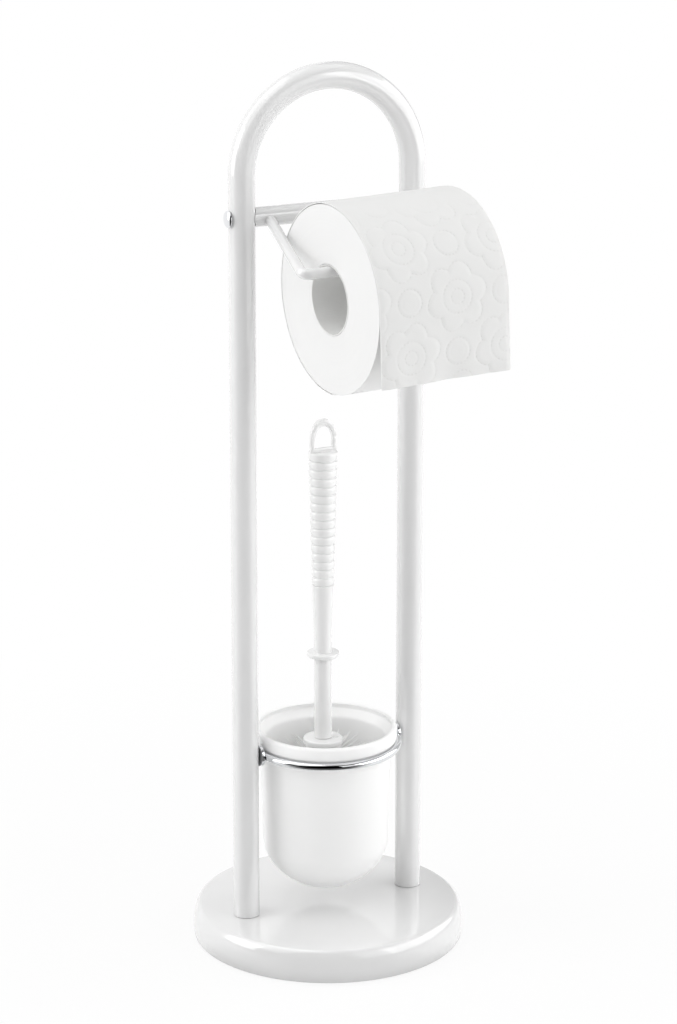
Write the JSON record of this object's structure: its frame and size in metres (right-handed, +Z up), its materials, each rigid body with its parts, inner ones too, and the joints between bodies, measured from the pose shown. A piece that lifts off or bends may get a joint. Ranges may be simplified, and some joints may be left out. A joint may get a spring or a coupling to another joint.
{
  "type": "toilet roll holder",
  "caption": "Free-standing white toilet roll holder: round base, arch frame, bent roll arm, and a chrome ring holding a frosted glass bowl with a toilet brush.",
  "frame": {"origin": "centre of the underside of the base pad, on the floor", "axes": "+Z up, +X along the cross rail from the left upright to the right one, -Y to the front where the paper roll hangs"},
  "size_m": [0.2, 0.2534, 0.6475],
  "materials": {
    "white_lacquer": "white gloss powder coat",
    "chrome": "polished",
    "zinc": "zinc plated",
    "cement": "cast cement",
    "rubber": "matt",
    "frosted_glass": "frosted",
    "white_plastic": "moulded, satin",
    "bristle": "nylon",
    "card": "plain grey card",
    "wound_tissue": "wound embossed tissue",
    "tissue": "embossed tissue"
  },
  "bodies": {
    "stand": {"base_shell": "white_lacquer", "base_weight": "cement", "base_pad": "rubber", "foot_bolt_left": "zinc", "foot_bolt_right": "zinc", "foot_washer_left": "zinc", "foot_washer_right": "zinc", "foot_insert_left": "zinc", "foot_insert_right": "zinc", "frame_tube": "white_lacquer", "rail_tube": "white_lacquer", "rail_insert_left": "zinc", "rail_insert_right": "zinc", "rail_screw_left": "chrome", "rail_screw_right": "chrome", "roll_arm": "white_lacquer", "bowl_ring": "chrome", "ring_screw_left": "zinc", "ring_screw_right": "zinc", "ring_rivet_nut_left": "zinc", "ring_rivet_nut_right": "zinc"},
    "hanging_sheet": {"paper_tail": "tissue"},
    "roll": {"roll_core": "card", "roll_paper": "wound_tissue"},
    "bowl": {"brush_bowl": "frosted_glass"},
    "brush": {"brush_handle": "white_plastic", "brush_hub": "white_plastic", "brush_bristles": "bristle"}
  },
  "joints": [
    {"name": "roll_slide", "type": "slide", "parent": "stand", "child": "hanging_sheet", "axis": [0.9969, 0.0767, 0.0201], "range_m": [0, 0.118]},
    {"name": "roll_spin", "type": "hinge", "parent": "hanging_sheet", "child": "roll", "pos_m": [-0.0417, -0.088, 0.5002], "axis": [0.9969, 0.0767, 0.0201], "continuous": true},
    {"name": "bowl_lift", "type": "slide", "parent": "stand", "child": "bowl", "axis": [0, 0, 1], "range_m": [0, 0.02]},
    {"name": "brush_lift", "type": "slide", "parent": "bowl", "child": "brush", "axis": [0, 0, 1], "range_m": [0, 0.12]}
  ]
}
